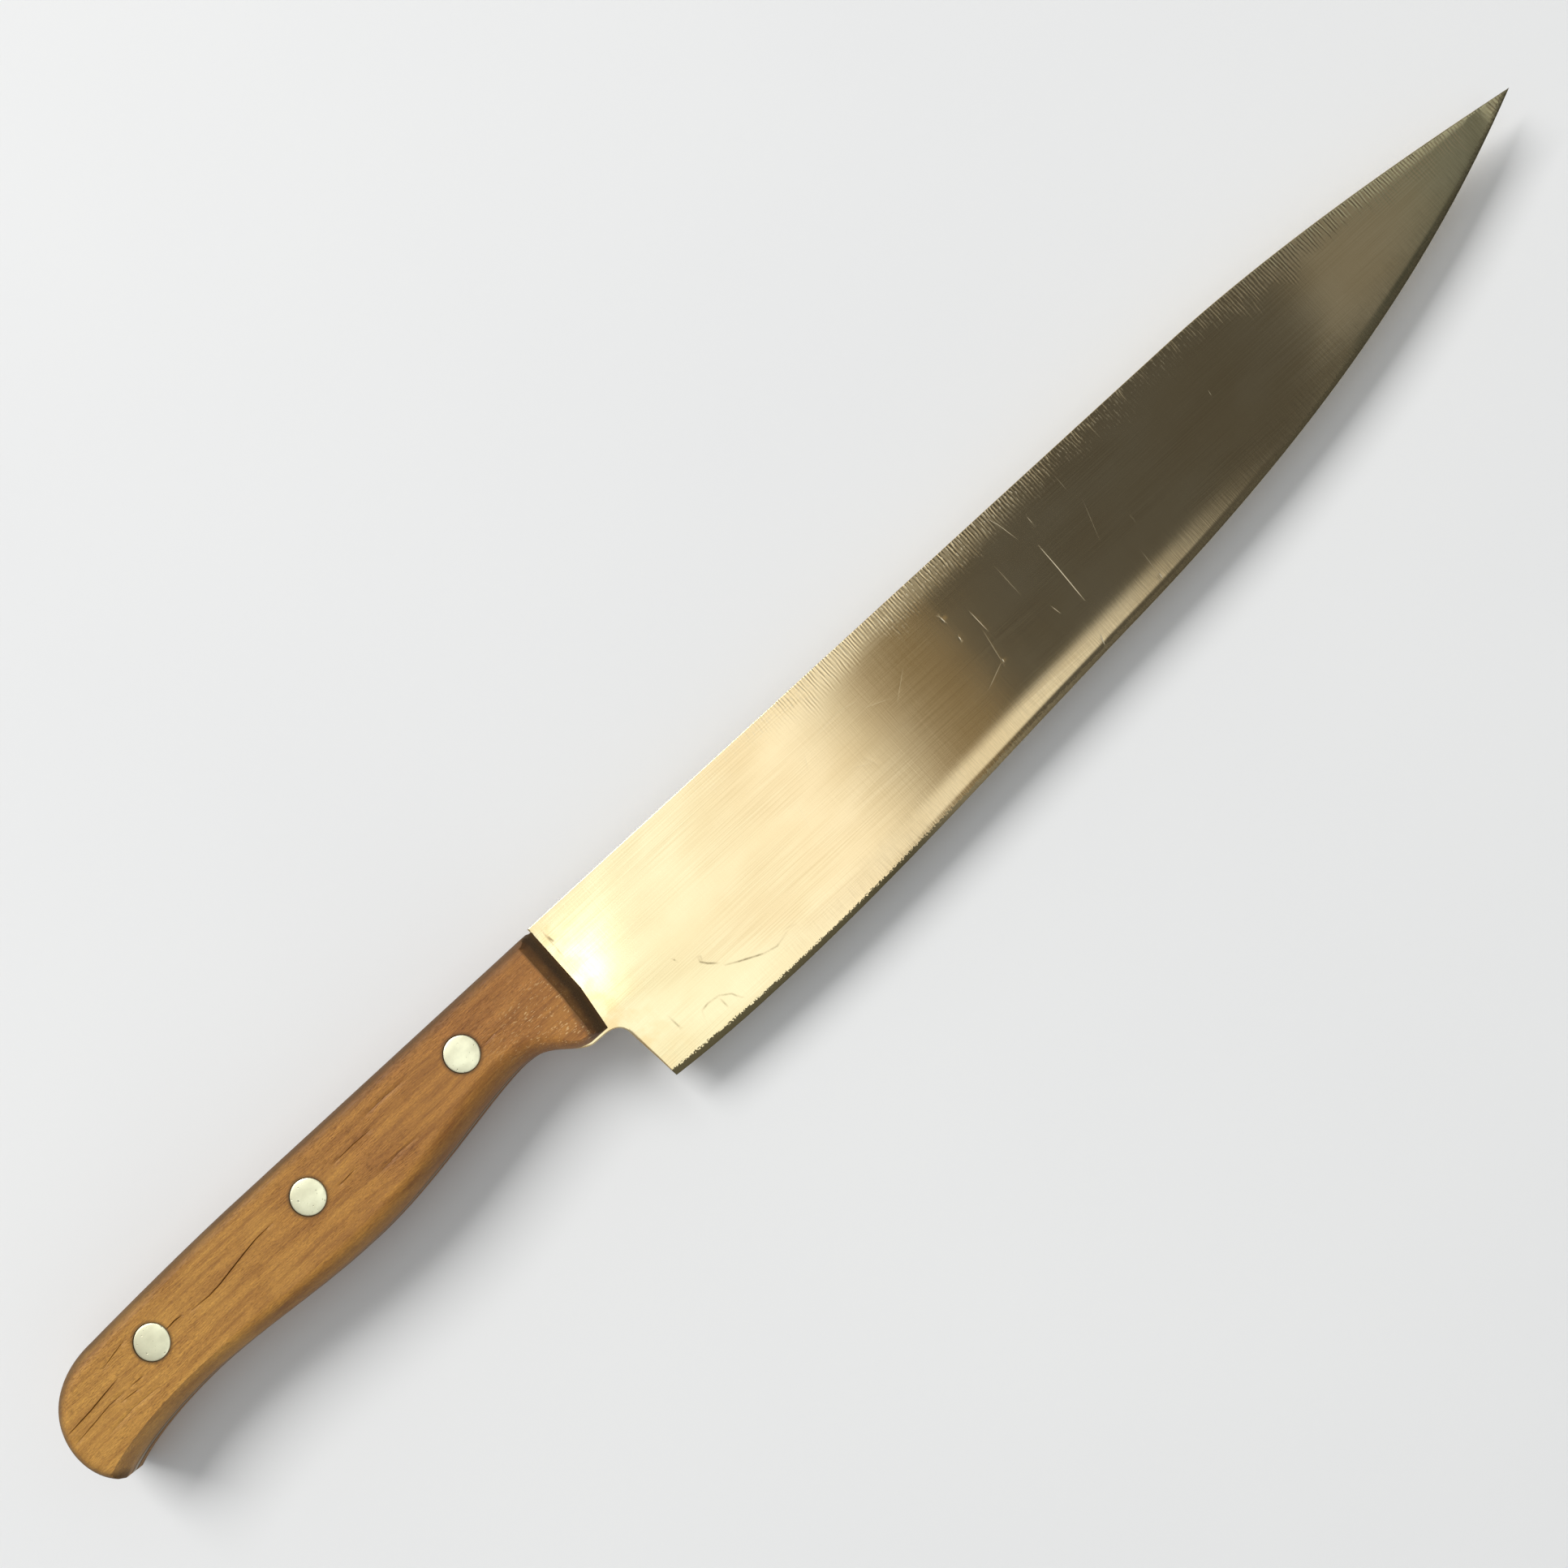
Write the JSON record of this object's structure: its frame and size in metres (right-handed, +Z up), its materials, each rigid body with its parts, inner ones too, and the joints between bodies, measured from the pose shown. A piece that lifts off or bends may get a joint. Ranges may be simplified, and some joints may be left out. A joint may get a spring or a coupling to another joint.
{
  "type": "chef knife",
  "caption": "Chef knife with a wide ground steel blade, full tang and wooden handle scales held by flush rivets, for chopping and slicing food.",
  "frame": {"origin": "centre of the knife's plan, on the plane that it lies on", "axes": "+X from the butt to the tip, +Y from the cutting edge to the spine, +Z up, square to the side of the blade"},
  "size_m": [0.388, 0.0418, 0.018],
  "materials": {
    "blade_steel": "cross-ground satin stainless steel with wear scratches",
    "handle_wood": "oiled brown hardwood, worn, with fine grain and drying cracks",
    "rivet_metal": "satin, ground flush and slightly pitted"
  },
  "bodies": {
    "root": {"blade_and_tang": "blade_steel", "lower_scale": "handle_wood", "upper_scale": "handle_wood", "front_rivet_female": "rivet_metal", "front_rivet_male": "rivet_metal", "middle_rivet_female": "rivet_metal", "middle_rivet_male": "rivet_metal", "rear_rivet_female": "rivet_metal", "rear_rivet_male": "rivet_metal"}
  },
  "joints": []
}
